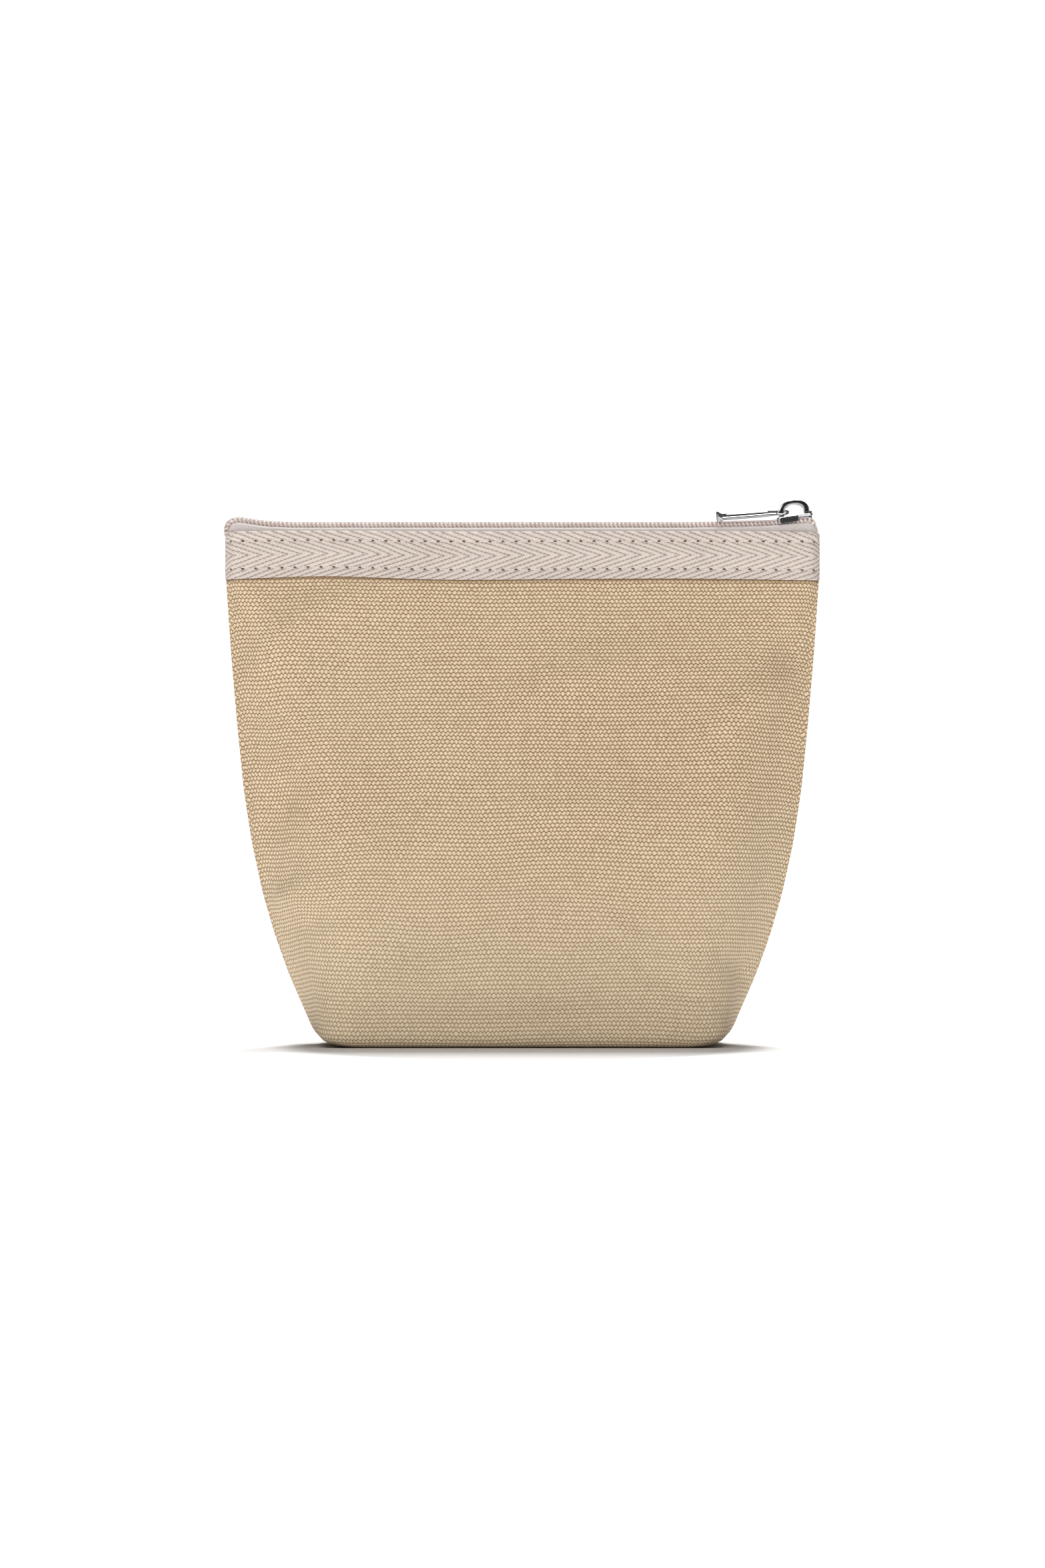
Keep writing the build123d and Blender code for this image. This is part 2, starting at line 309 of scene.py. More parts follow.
def canvas_material():
    """Heavy plain weave: rows of upright warp floats, each row half a float aside, parted by dark zigzag lines."""
    s = Shader("canvas", 0.88, sheen_weight=0.08, sheen_roughness=0.5)
    u, v, below = s.cloth()
    drift = s.noise(s.at(u * 0.035, v * 0.05), detail=1.0)
    sway = s.noise(s.at(u * 0.022, v * 0.030, 7.0), detail=1.0)
    wobble = s.noise(s.at(u * 0.9, v * 0.8, 3.0), detail=1.0) - 0.5
    row = (v * (v * PICK_GROWTH + 1.0) + (sway - 0.5) * 2.6) / PICK + wobble * 0.22
    stray = s.noise(s.at(u * 0.28, row.use("FLOOR") * 0.77, 29.0), detail=1.0) - 0.5
    warp = (u + (drift - 0.5) * 1.6 + stray * 1.5) / WEAVE
    wave = (warp * TURN).use("COSINE")
    odd = (row * 0.5).use("FRACT").use("GREATER_THAN", 0.5)
    wave = wave * (odd * -2.0 + 1.0)
    wave = wave * (wave * wave * -0.5 + 1.5)
    offset = row.use("FRACT") - 0.5 - wave * ZIGZAG
    upper = offset.use("GREATER_THAN", 0.0)
    yarn = wave * (upper * -2.0 + 1.0) * 0.5 + 0.5
    reach = offset.use("ABSOLUTE")
    gap = reach.smooth(0.02, 0.25)
    each = s.noise(s.at(warp.use("FLOOR") * 0.37, (row + 0.5).use("FLOOR") * 0.61, 1.0), scale=3.1, detail=0.0)
    fuzz = s.noise(s.at(u, v), scale=5.0, detail=3.0)
    streak = s.noise(s.at(u * 0.03, v * 0.75, 11.0), detail=2.0)
    rib = s.noise(s.at(u * 0.75, v * 0.02, 17.0), detail=2.0)
    patch = s.noise(s.at(u * 0.012, v * 0.014, 23.0), detail=2.0)
    height = gap * (yarn * 0.30 + 0.70)
    # glint is a painted highlight on the tops of the floats
    glint = yarn.smooth(0.55, 1.0) * reach.smooth(0.14, 0.40) * (each * 0.7 + 0.3)
    tone = height * 0.78 + glint * 0.14 + (each - 0.5) * 0.26 + (fuzz - 0.5) * 0.18
    tone = tone + (streak - 0.5) * 0.18 + (rib - 0.5) * 0.10 + (patch - 0.5) * 0.16 + 0.03
    # the colour follows the weave's height: the dark zigzag lines between rows are partly the weave's own pattern and
    # partly painted shade in the gaps
    deep = s.blend(patch.smooth(0.35, 0.65), srgb(133, 101, 63), srgb(131, 102, 65))
    pale = s.blend(streak.smooth(0.35, 0.65), srgb(218, 196, 164), srgb(219, 196, 163))
    colour = s.blend(tone.smooth(-0.1, 1.1), deep, pale)
    colour = s.blend(glint * 0.36, colour, srgb(236, 224, 206))
    # painted light: a little paler towards the foot, as bounce light from the floor; painted shade: brown under the
    # band's lower edge
    colour = s.blend(below.smooth(64.0, 128.0, 0.0, 0.17), colour, srgb(246, 228, 198))
    colour = s.blend(below.smooth(-0.2, 1.6, 0.85, 0.0), colour, srgb(124, 92, 58))
    return s.finish(colour, height + glint * 0.2 + fuzz * 0.10, depth=0.20, strength=0.9)


def herringbone_material():
    """Cotton herringbone tape: ribs meet in one row of arrowheads along its middle."""
    s = Shader("herringbone_tape", 0.9, sheen_weight=0.06, sheen_roughness=0.5)
    u, v, _ = s.cloth()
    sway = s.noise(s.at(u * 0.06, v * 0.06), detail=1.0) - 0.5
    away = (v - BAND_MIDDLE + sway * 0.8).use("ABSOLUTE")
    rib = (away + u * 0.352 + sway * 0.9) / RIB
    part = rib.use("FRACT") - 0.5
    number = rib.use("FLOOR")
    ridge = (part * part) * -3.6 + 1.0
    segment = (u / SEGMENT + part * 0.95 + number * 0.38).use("FRACT")
    notch = (segment - 0.5).use("ABSOLUTE").smooth(0.22, 0.5)
    ridge = ridge - notch * 0.40
    fuzz = s.noise(s.at(u, v), scale=6.0, detail=3.0)
    each = s.noise(s.at((u / SEGMENT + number * 0.38).use("FLOOR") * 0.7, number * 0.9), scale=2.7, detail=0.0)
    patch = s.noise(s.at(u * 0.05, v * 0.09, 5.0), detail=2.0)
    # painted shade: darker in the valleys between ribs and in the notches between twists
    valley_shade = part.use("ABSOLUTE").smooth(0.20, 0.5) * (notch * 0.55 + 0.45)
    hole_shade = hole_field(u, v)
    tone = valley_shade * -0.70 + notch * -0.18 + (each - 0.5) * 0.20
    tone = tone + (fuzz - 0.5) * 0.14 + (patch - 0.5) * 0.24 + 0.84
    pale = s.blend(each.smooth(0.3, 0.7), srgb(213, 202, 194), srgb(215, 202, 192))
    colour = s.blend(tone.smooth(0.0, 0.95), srgb(130, 110, 95), pale)
    # painted shade: dark brown in the needle holes
    colour = s.blend(hole_shade, colour, srgb(84, 62, 44))
    return s.finish(colour, ridge + fuzz * 0.05, depth=0.24, strength=1.0)


def hole_field(u, v):
    """1 in the needle holes of the band's two rows of stitching."""
    across = ((u / STITCH_PITCH).use("FRACT") - 0.5) * STITCH_PITCH
    found = None
    for row in STITCH_ROWS:
        lift = v - row
        slanted = across + lift * 0.5
        reach = (slanted * slanted + (lift * lift) * 4.5).use("SQRT")
        near = reach.smooth(0.42, 0.82, 1.0, 0.0)
        found = near if found is None else found.use("MAXIMUM", near)
    return found


def fine_tape_material():
    """The zip's tape: fine, tight and paler than the band."""
    s = Shader("zip_tape", 0.75, sheen_weight=0.08)
    u, v, _ = s.cloth()
    across = (u * (TURN / 0.62)).use("COSINE")
    along = (v * (TURN / 0.52)).use("COSINE")
    knit = (across * along) * 0.5 + 0.5
    fuzz = s.noise(s.at(u, v), scale=7.0, detail=2.0)
    tone = knit * 0.6 + (fuzz - 0.5) * 0.5 + 0.2
    colour = s.blend(tone.smooth(0.0, 0.9), srgb(158, 146, 141), srgb(225, 216, 213))
    return s.finish(colour, knit + fuzz * 0.2, depth=0.12)


def thread_material(name, low, high):
    s = Shader(name, 0.6, sheen_weight=0.1)
    fuzz = s.noise(s.place(1500.0), detail=2.0)
    return s.finish(s.blend(fuzz.smooth(0.3, 0.7), low, high), fuzz, depth=0.05)


def nylon_material():
    s = Shader("nylon_coil", 0.38, subsurface_weight=0.15, subsurface_scale=0.0006)
    patch = s.noise(s.place(160.0), detail=2.0)
    return s.finish(s.blend(patch.smooth(0.3, 0.7), srgb(202, 184, 177), srgb(217, 202, 196)), patch, depth=0.02)


def metal_material(name, roughness):
    """Polished dark nickel with faint casting waves and fine handling marks."""
    s = Shader(name, roughness, metallic=1.0)
    cast = s.noise(s.place(260.0), detail=2.0)
    marks = s.noise(s.place(1900.0), detail=3.0)
    colour = s.blend(marks.smooth(0.3, 0.7), (0.41, 0.40, 0.405), (0.47, 0.46, 0.46))
    return s.finish(colour, cast + marks * 0.05, depth=0.02, edge=0.22)


canvas_look = canvas_material()
band_look = herringbone_material()
tape_look = fine_tape_material()
thread_look = thread_material("thread", srgb(196, 186, 181), srgb(222, 214, 210))
binding_look = thread_material("binding_tape", srgb(186, 170, 156), srgb(212, 198, 186))
coil_look = nylon_material()
slider_look = metal_material("slider_metal", 0.09)
tab_look = metal_material("tab_metal", 0.08)

# -------- the pouch's surface

CANVAS = 0.9
FOOT = 4.0  # radius of the fold between wall and base
RIM = 160.3
BAND_BOTTOM = 145.4
BAND_TALL = 14.9
BAND_REACH = 94.0  # half the band's length along the wall
CLOTH_REACH = 91.5  # half the canvas's width when flat
BAND_GAP = 0.02  # between the canvas and the band
CORNER_TALL, CORNER_IN = 6.6, 5.0  # how the outline rounds in at its lower corners
SWELL = 2.4  # how far the middle of a wall stands out
CREASE_DEPTH = 2.8  # times the heights of the creases
BASE_REACH = 56.4  # half the base's length between its boxed corners
BAND_LEVEL = 152.0  # height at which places along the band are worked out
SEAM_GAP = 0.03  # from the middle plane to either canvas at the side seams

# height, half width at the side seams, half depth, half length of the flat face, radius of its side folds
LEVELS = (
    (-30.0, 52.0, 28.1, 60.0, 7.0),
    (2.0, 64.3, 27.9, 62.5, 8.0),
    (11.0, 68.2, 27.6, 61.5, 14.0),
    (22.0, 73.0, 26.6, 60.5, 20.0),
    (34.0, 77.3, 25.0, 60.5, 24.0),
    (47.0, 81.1, 22.7, 61.5, 27.0),
    (63.0, 84.6, 20.1, 63.0, 28.0),
    (80.0, 87.2, 17.2, 65.0, 28.0),
    (100.0, 89.2, 13.4, 69.0, 28.0),
    (122.0, 91.1, 9.2, 75.0, 30.0),
    (145.4, 92.7, 5.0, 89.8, 2.5),
    (200.0, 92.7, 5.0, 89.8, 2.5),
)
half_width, half_depth, half_flat, fold_radius = (
    smooth_curve([(level[0], level[k]) for level in LEVELS]) for k in (1, 2, 3, 4)
)

# Soft creases and swells of the front: x, z, half length, half width, angle, height
FRONT_CREASES = (
    (-71.0, 130.0, 24.0, 6.0, 40.0, 0.85),
    (14.0, 114.0, 32.0, 6.5, 21.0, 0.75),
    (72.0, 108.0, 22.0, 6.0, 38.0, 1.00),
    (84.0, 122.0, 9.0, 6.0, 60.0, -0.70),
    (-46.0, 59.0, 18.0, 5.5, 44.0, 0.85),
    (4.0, 73.0, 36.0, 7.0, 10.0, 0.75),
    (-71.0, 47.0, 11.0, 4.5, 24.0, 1.00),
    (-62.0, 40.0, 10.0, 4.0, 24.0, -0.55),
    (-14.0, 43.0, 28.0, 5.0, 2.0, 0.55),
    (36.0, 29.0, 28.0, 5.0, -38.0, 0.75),
    (-26.0, 24.0, 16.0, 5.0, 8.0, -0.60),
    (14.0, 10.0, 18.0, 4.5, 4.0, -0.45),
    (43.0, 37.0, 12.0, 5.0, -38.0, -0.50),
    (68.0, 24.0, 12.0, 5.0, -34.0, -0.70),
    (-74.0, 76.0, 12.0, 6.0, 62.0, -0.70),
)
BACK_CREASES = (
    (-58.0, 112.0, 30.0, 8.0, 38.0, 0.65),
    (14.0, 96.0, 36.0, 9.0, -18.0, 0.55),
    (60.0, 60.0, 24.0, 7.0, -40.0, 0.60),
    (-30.0, 48.0, 26.0, 7.0, 24.0, 0.50),
    (-64.0, 30.0, 14.0, 5.0, 30.0, 0.55),
    (30.0, 22.0, 22.0, 6.0, -8.0, -0.45),
    (84.0, 120.0, 12.0, 6.0, 70.0, -0.50),
)
MARKS = {1: FRONT_CREASES, -1: BACK_CREASES}


def creases(x, z, marks):
    total = 0.0
    for cx, cz, length, width, angle, height in marks:
        c, s = math.cos(math.radians(angle)), math.sin(math.radians(angle))
        along = (x - cx) * c + (z - cz) * s
        across = (z - cz) * c - (x - cx) * s + 0.0045 * along ** 2 * np.sign(angle)
        total = total + height * bell(along / length) * bell(across / width)
    return total


def outline(z, share):
    """Points on the walls at heights z, at shares -1 to 1 of the way from the middle to the side seams."""
    over = np.clip((CORNER_TALL - z) / CORNER_TALL, 0, 1)
    wide = half_width(z) - CORNER_IN * (1 - np.sqrt(1 - 0.98 * over ** 2))
    deep, flat, fold = half_depth(z), np.minimum(half_flat(z), wide - 1.2), fold_radius(z)
    side = np.hypot(wide - flat, deep)
    turn = np.arctan2(deep, wide - flat)
    cut = np.minimum(fold * np.tan(turn / 2), 0.8 * side)
    fold = cut / np.tan(turn / 2)
    straight = flat - cut
    total = straight + fold * turn + side - cut
    s = np.abs(share) * total
    angle = np.clip((s - straight) / fold, 0, turn)
    rest = np.maximum(s - straight - fold * turn, 0)
    x = np.minimum(s, straight) + fold * np.sin(angle) + rest * np.cos(turn)
    y = -deep + fold * (1 - np.cos(angle)) + rest * np.sin(turn)
    sign = np.sign(share)
    return x * sign, y, np.sin(angle) * sign, -np.cos(angle)


def wall(z, share, out, marks):
    """The wall's outer surface at a distance out from it, with its swell and creases."""
    z, share = np.broadcast_arrays(np.asarray(z, float), np.asarray(share, float))
    x, y, nx, ny = outline(z, share)
    free = ease((1 - np.abs(share)) / 0.12) * ease((z - 2) / 12)
    swell = SWELL * np.sin(np.pi * np.clip(z / 152, 0, 1)) * ease((1 - np.abs(share)) / 0.5)
    loose = CREASE_DEPTH * creases(x, z, marks) * (1 - ease((z - 138) / 10))
    waves = 0.28 * np.sin(x / 19 + 1.3) + 0.16 * np.sin(x / 8.3 + 0.4) + 0.12 * np.sin(z / 9 + x / 23)
    push = (swell + loose + waves) * free + out
    return np.stack([x + nx * push, y + ny * push, z], -1)


def dip(x):
    """How the mouth's edge comes down at its two corners."""
    over = np.clip((np.abs(x) - 90.0) / 2.9, 0, 1)
    return 1.5 * (1 - np.sqrt(1 - over ** 2 * 0.98))


# -------- how the mouth opens

OPEN_LEFT, OPEN_RIGHT = -73.0, 92.0


def opening(points):
    """Share of the wall's turn that each point follows: a lens between the slider and the zip's right end."""
    x, z = points[:, 0], points[:, 2]
    middle, half = (OPEN_LEFT + OPEN_RIGHT) / 2, (OPEN_RIGHT - OPEN_LEFT) / 2
    near = np.clip(1 - np.abs(x - middle) / half, 0, 1)
    lens = 1 - (1 - near) ** 1.8
    soft = ease(near * 1.15)
    height = np.clip(z / RIM, 0, 1) ** 1.5
    return (soft * (1 - height) + lens * height) * ease((z - 6) / 26)


def bend(obj, points):
    """Bakes the piece's place into its mesh and works out how far each point would follow its wall rather than the
    root: not at its ends and foot, most in the middle of the mouth. Nothing uses the result.
    """
    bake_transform(obj)
    share = opening(np.asarray(points)).astype(np.float32)


SIDES = {"front": 1, "back": -1}


def sewn_piece(name, side, points, faces, look, cloth=None):
    """A piece worked out for the front, mirrored for the back if need be, with its place baked into its mesh."""
    points = points * np.array([1, side, 1.0])
    obj = make_piece(name, points, turned(faces, side), look, cloth)
    bend(obj, points)
    return obj


# -------- canvas

def canvas_half(name, side):
    """One half of the cut: a wall, its two gusset halves, the fold at its foot and half of the base."""
    marks = MARKS[side]
    shares = np.sort(np.concatenate([np.linspace(-1, 1, 133), [-0.996, -0.991, 0.991, 0.996]]))
    heights = np.linspace(RIM - 0.7, FOOT, 108)
    z, share = np.meshgrid(heights, shares, indexing="ij")
    surface = wall(z, share, 0.0, marks)
    surface[..., 2] -= dip(surface[..., 0]) * ease((z - 150) / 10)
    foot = []
    for angle in np.radians(np.linspace(15, 90, 6)):
        level = FOOT * (1 - math.sin(angle))
        foot.append(wall(np.full_like(shares, level), shares, -FOOT * (1 - math.cos(angle)), marks))
    rows = np.concatenate([surface, np.stack(foot)])
    seam = np.abs(shares) > 0.99
    rows[:, seam, 1] = np.minimum(rows[:, seam, 1], -SEAM_GAP)
    first, last = np.flatnonzero(np.abs(rows[-1, :, 0]) <= BASE_REACH)[[0, -1]]
    count, width = rows.shape[:2]
    points = [rows.reshape(-1, 3)]
    cloth_v = np.cumsum(np.r_[np.zeros((1, width)), np.linalg.norm(np.diff(rows, axis=0), axis=2)], axis=0)
    cloth = [np.stack([np.broadcast_to(shares * CLOTH_REACH, cloth_v.shape), cloth_v], -1).reshape(-1, 2)]
    index = np.arange(count * width).reshape(count, width)
    faces = [grid_faces(index)]
    total = count * width

    def extend(edge, moves, steps):
        """Adds rows beyond an edge, each by a move and a length of cloth, and gives the vertex numbers row by row."""
        nonlocal total
        start, start_cloth = np.concatenate(points)[edge], np.concatenate(cloth)[edge]
        strip = [edge]
        for move, step in zip(moves, steps):
            points.append(start + move)
            cloth.append(start_cloth + step)
            strip.append(np.arange(total, total + len(edge)))
            total += len(edge)
        faces.append(grid_faces(np.array(strip)))
        return np.array(strip)

    # the half of the base
    edge = index[-1, first:last + 1]
    runs = [-rows[-1, first:last + 1, 1] * t for t in np.linspace(0, 1, 9)[1:]]
    still = np.zeros(len(edge))
    base_index = extend(edge, [np.stack([still, run, still], -1) for run in runs],
                        [np.stack([still, run], -1) for run in runs])
    # the seam across each end of the base: both layers turn up inside
    for column, way in ((0, -1), (-1, 1)):
        line = base_index[:, column]
        line = line if way > 0 else line[::-1]
        lift = [np.array([0.25 * way, 0, 0.5]), np.array([0.3 * way, 0, 2.5]), np.array([0.3 * way, 0, 5.0])]
        extend(line, lift, [np.array([way * t, 0]) for t in (0.6, 2.6, 5.1)])
    for part, corner, way in ((slice(first + 1), first, -1), (slice(last, None), last, 1)):
        to_seam = (abs(rows[-1, corner, 0]) + 1.25) * way - rows[-1, part, 0]
        lift = [np.stack([to_seam * share, 0 * to_seam, 0 * to_seam + rise], -1)
                for share, rise in ((0.85, 0), (1, 0.5), (1, 2.5), (1, 5.0))]
        extend(index[-1, part], lift, [np.array([0, t]) for t in (0.9, 1.6, 3.6, 6.1)])
    # the seam allowances inside the side seams
    for column, way in ((0, -1), (-1, 1)):
        line = index[:, column]
        line = line if way > 0 else line[::-1]
        steps = (0.8, 3.0, 5.2)
        extend(line, [np.array([-way * t, 0.0, 0]) for t in steps], [np.array([way * t, 0]) for t in steps])
    points, faces = thicken(np.concatenate(points), np.concatenate(faces), CANVAS)
    cloth = np.concatenate(cloth + cloth)
    below = BAND_BOTTOM + edge_wave(points[:, 0]) - points[:, 2]
    cloth = np.column_stack([cloth + (0 if side > 0 else 37.0), np.clip(below, -5, 150)])
    return sewn_piece(name, side, points, faces, canvas_look, cloth)


# -------- band and its stitching

def edge_wave(x):
    """The slow waves of the sewn-on tape's lower edge."""
    lift = 0.85 * bell((x + 62) / 24) + 0.35 * bell((x - 52) / 22) - 0.3 * ease((x - 70) / 20)
    return lift - 0.15 + 0.14 * np.sin(x / 13.0)


def band_height(x, v):
    """Height of a point of the band, v above its lower edge."""
    return BAND_BOTTOM + v + edge_wave(x) * (1 - 0.75 * v / 15) - dip(x) * ease((v - 5) / 10)


def band_relief(u, v):
    """How far the tape stands out: puffed between stitches, drawn in at the holes."""
    across = (u / STITCH_PITCH - np.floor(u / STITCH_PITCH) - 0.5) * STITCH_PITCH
    relief = np.full_like(u, 0.72)
    for row in STITCH_ROWS:
        lift = v - row
        relief -= 0.26 * bell(lift / 0.75)
        relief -= 0.42 * bell(np.hypot(across, lift * 1.2) / 0.5)
    slant = across + (v - STITCH_ROWS[1]) * 1.1
    slant = (slant / STITCH_PITCH - np.floor(slant / STITCH_PITCH + 0.5)) * STITCH_PITCH
    above = ease((v - STITCH_ROWS[1]) / 0.8) * (1 - ease((v - 14.0) / 1.2))
    relief += 0.24 * bell((v - 13.3) / 1.0) - 0.20 * above * bell(slant / 0.65)
    relief += 0.10 * bell((v - 1.4) / 1.1) + 0.10 * bell((v - 7.4) / 3.0)
    relief += 0.34 * bell(v / 1.1)
    return relief * (0.35 + 0.65 * ease((BAND_TALL - v) / 0.7 + 0.15))


def band_piece(name, side):
    marks = MARKS[side]
    shares = np.linspace(-1, 1, 461)
    levels = np.linspace(0, BAND_TALL, 46)
    v, share = np.meshgrid(levels, shares, indexing="ij")
    u = share * BAND_REACH
    x = outline(np.full_like(share, BAND_LEVEL), share)[0]
    z = band_height(x, v)
    relief = band_relief(u, v)
    to_seam = (1 - np.abs(share)) * BAND_REACH
    close = ease(to_seam / 0.9)
    relief = 0.5 + (relief - 0.5) * ease(to_seam / 3.0)
    relief = relief * (0.45 + 0.55 * close)
    outer = wall(z, share, BAND_GAP + relief, marks)
    inner = wall(z, share, BAND_GAP + 0.42 * bell(v / 0.8) * close, marks)
    for layer in (outer, inner):
        layer[..., 1] = np.minimum(layer[..., 1], -SEAM_GAP)
    count = u.size
    faces = grid_faces(np.arange(count).reshape(u.shape))[:, ::-1]
    points, faces = thicken(outer.reshape(-1, 3), faces, 0.1)
    points[count:] = inner.reshape(-1, 3)
    cloth = np.stack([u.ravel(), v.ravel(), np.zeros(count)], -1)
    return sewn_piece(name, side, points, faces, band_look, np.concatenate([cloth, cloth]))


def stitches(name, side, row):
    """Short two-ply threads that run from hole to hole and dive in at each end."""
    marks = MARKS[side]
    parts = []
    for k in range(-22, 22):
        start, end = (k + 0.5) * STITCH_PITCH + 0.25, (k + 1.5) * STITCH_PITCH - 0.25
        t = np.linspace(0, 1, 13)
        u = start + (end - start) * t
        lift = 0.10 * np.sin(k * 2.4) + 0.16 * (t - 0.5)
        v = np.full_like(t, row) + lift
        share = u / BAND_REACH
        x = outline(np.full_like(share, BAND_LEVEL), share)[0]
        arch = BAND_GAP + band_relief(u, np.full_like(u, row)) + 0.10 * np.sin(np.pi * t) - 0.16
        middle = wall(band_height(x, v), share, arch, marks)
        for strand in (0, math.pi):
            twist = t * TURN * 2.6 + strand + k
            path = middle + np.stack([np.zeros_like(t), np.sin(twist) * 0.10, np.cos(twist) * 0.13], -1)
            parts.append(closed_tube(path, 0.15, 6))
    points, faces = join(parts)
    return sewn_piece(name, side, points, faces, thread_look)


# -------- zip

COIL_PITCH = 1.29
COIL_HALF = 1.02  # half the width of one coil, between the middles of its wire
WIRE = 0.45  # radius of the nylon wire
CHAIN = smooth_curve(
    [(-90, 163.95), (-88.5, 163.9), (-86, 163.45), (-80, 162.55), (-72, 162.25), (50, 162.25), (66, 162.5),
     (77, 162.8), (85, 163.45), (88, 163.75), (89.5, 163.75)],
    blur=1.2,
)
TAPE_TOP = smooth_curve(
    [(-93, 160.2), (-92, 161.4), (-90.5, 162.7), (-88.5, 163.0), (-86, 162.6), (-80, 161.75), (-72, 161.4),
     (50, 161.4), (66, 161.6), (77, 162.0), (85, 162.85), (89, 163.3), (91, 162.6), (92.3, 161.0)],
    blur=0.8,
)


def chain_path():
    """Middle line of the closed chain in the XZ plane, from the left end's curl to the right end's."""
    left = [(-91.9, 158.2), (-92.2, 160.0), (-92.2, 161.5), (-91.6, 162.8), (-90.4, 163.6), (-89.0, 163.8)]
    straight = [(x, float(CHAIN(x))) for x in np.arange(-87.5, 88.6, 1.5)]
    right = [(89.8, 163.6), (90.5, 162.9), (90.7, 161.9), (90.5, 160.6)]
    knots, step = np.array(left + straight + right), 0.05
    run = np.r_[0, np.cumsum(np.linalg.norm(np.diff(knots, axis=0), axis=1))]
    places = np.arange(0, run[-1], step)
    path = np.stack([np.interp(places, run, knots[:, k]) for k in (0, 1)], -1)
    size = int(0.9 / step)
    kernel = bell(np.linspace(-2, 2, 2 * size + 1))
    kernel /= kernel.sum()
    padded = np.concatenate([np.repeat(path[:1], size, 0), path, np.repeat(path[-1:], size, 0)])
    path = np.stack([np.convolve(padded[:, k], kernel, mode="valid") for k in (0, 1)], -1)
    run = np.r_[0, np.cumsum(np.linalg.norm(np.diff(path, axis=0), axis=1))]
    return run, path


CHAIN_RUN, CHAIN_PATH = chain_path()


def chain_at(run):
    return np.stack([np.interp(run, CHAIN_RUN, CHAIN_PATH[:, k]) for k in (0, 1)])


def on_chain(run, out, across):
    """Points beside the chain's middle line: out from it in the XZ plane, across it in Y."""
    x, z = chain_at(run)
    dx, dz = chain_at(run + 0.2) - chain_at(run - 0.2)
    size = np.maximum(np.hypot(dx, dz), 1e-9)
    nx, nz = -dz / size, dx / size
    return np.stack([x + nx * out, across, z + nz * out], -1)


def parting(x):
    """How far each half of the zip stands off the middle at the slider's nose and beyond."""
    return 1.15 * ease((x - 82.0) / 5.5)


def spread(run):
    return parting(chain_at(run)[0])


def coil_piece(name, side):
    """One nylon coil, a flattened helix whose heads reach past the middle between the other coil's."""
    turns = int(CHAIN_RUN[-1] / COIL_PITCH)
    per_turn = 14
    phase = np.arange(turns * per_turn + 1) / per_turn
    run = (phase + (0.0 if side > 0 else 0.5)) * COIL_PITCH
    run = run[run < CHAIN_RUN[-1] - 0.3]
    phase = phase[:len(run)]
    angle = phase * TURN
    across = -COIL_HALF - spread(run) + COIL_HALF * np.sign(np.cos(angle)) * np.abs(np.cos(angle)) ** 0.8
    path = on_chain(run + 0.20 * np.cos(angle), 0.55 * np.sin(angle), across)
    points, faces = closed_tube(path, WIRE, 8, up=(0.3, 0, 1.0))
    return sewn_piece(name, side, points, faces, coil_look)


def chain_threads(name, side):
    """The filler cord inside the coil and the two-ply chain stitch that holds the coil to its tape."""
    run = np.arange(1.0, CHAIN_RUN[-1] - 1.0, 0.16)
    parts = [closed_tube(on_chain(run[::4], 0.0, -1.15 - spread(run[::4])), 0.52, 8)]
    for strand, (out, across) in enumerate(((0.90, -1.45), (0.90, -0.80), (-0.80, -2.05))):
        for ply in (0, math.pi):
            twist = run * TURN / COIL_PITCH + ply + strand
            path = on_chain(run, out + 0.12 * np.sin(twist), across - spread(run) + 0.15 * np.cos(twist))
            parts.append(closed_tube(path, 0.17, 5))
    points, faces = join(parts)
    return sewn_piece(name, side, points, faces, thread_look)


def tape_piece(name, side):
    """The zip's tape: flat under the coil, over the top of the canvas and down inside it."""
    xs = np.linspace(-92.2, 91.9, 369)
    top = TAPE_TOP(xs)
    deep = np.minimum(4.0, np.maximum((92.9 - np.abs(xs)) * 1.75, 0.5))
    rows, cloth = [], []
    radius = np.minimum(0.8, deep * 0.5)
    inner_edge = np.minimum(0.25 + parting(xs), deep * 0.5)
    length = np.zeros_like(xs)
    previous = None
    course = [("flat", share) for share in (0, 0.5, 1)] + [("turn", degrees) for degrees in (18, 36, 54, 72, 90)]
    course += [("down", depth) for depth in (0.6, 1.4, 2.4, 4, 7, 10, 13)]
    for kind, t in course:
        if kind == "flat":
            y = -(inner_edge + (deep - radius - inner_edge) * t)
            z = top
        elif kind == "turn":
            y = -(deep - radius + radius * math.sin(math.radians(t)))
            z = top - radius * (1 - math.cos(math.radians(t)))
        else:
            y = -deep
            z = top - radius - t
        row = np.stack([xs, np.broadcast_to(y, xs.shape), z], -1)
        if previous is not None:
            length = length + np.linalg.norm(row - previous, axis=1)
        previous = row
        rows.append(row)
        cloth.append(np.stack([xs, length, np.zeros_like(xs)], -1))
    index = np.arange(len(rows) * len(xs)).reshape(len(rows), len(xs))
    points, faces = thicken(np.concatenate(rows), grid_faces(index), 0.45)
    cloth = np.concatenate(cloth)
    return sewn_piece(name, side, points, faces, tape_look, np.concatenate([cloth, cloth]))


